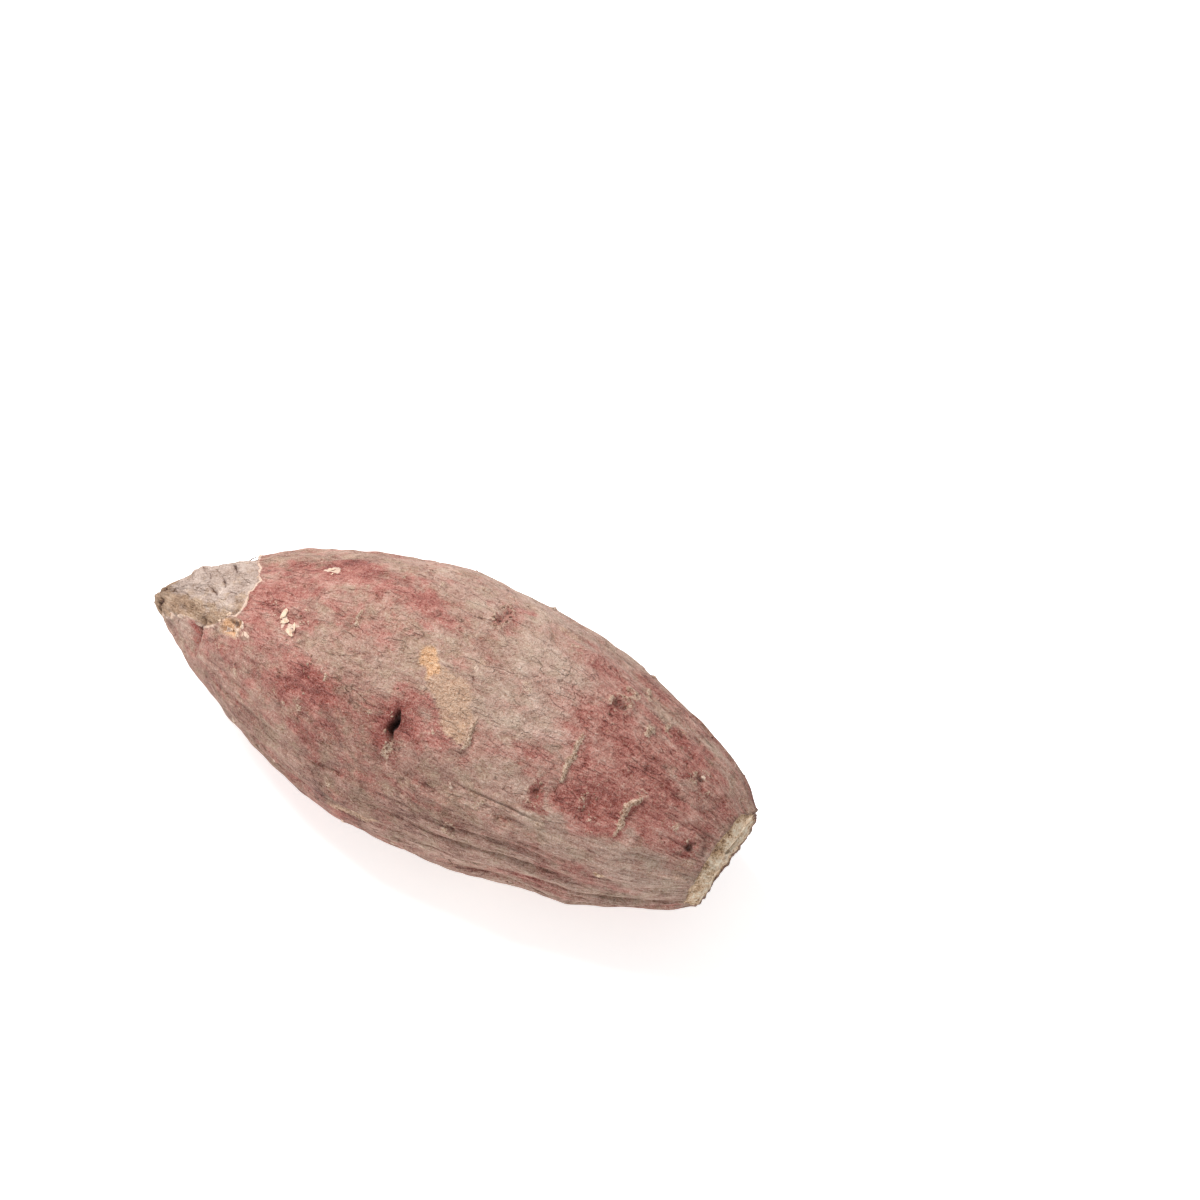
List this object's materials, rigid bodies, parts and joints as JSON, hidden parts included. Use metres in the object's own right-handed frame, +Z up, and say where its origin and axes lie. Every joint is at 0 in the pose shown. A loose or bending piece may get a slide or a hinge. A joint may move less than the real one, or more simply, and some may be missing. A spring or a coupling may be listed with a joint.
{
  "type": "sweet potato",
  "caption": "Whole sweet potato: a plump tapering root with a pointed corky crown, a cut tail, and dusty pink-brown skin, lying on its side.",
  "frame": {"origin": "under the centre of the bounding box, on the surface that the root lies on", "axes": "+X along the root from the pointed crown to the cut tail, +Z up from the surface it lies on"},
  "size_m": [0.1574, 0.066, 0.0618],
  "materials": {
    "skin": "matte"
  },
  "bodies": {
    "root": {"sweet_potato": "skin"}
  },
  "joints": []
}
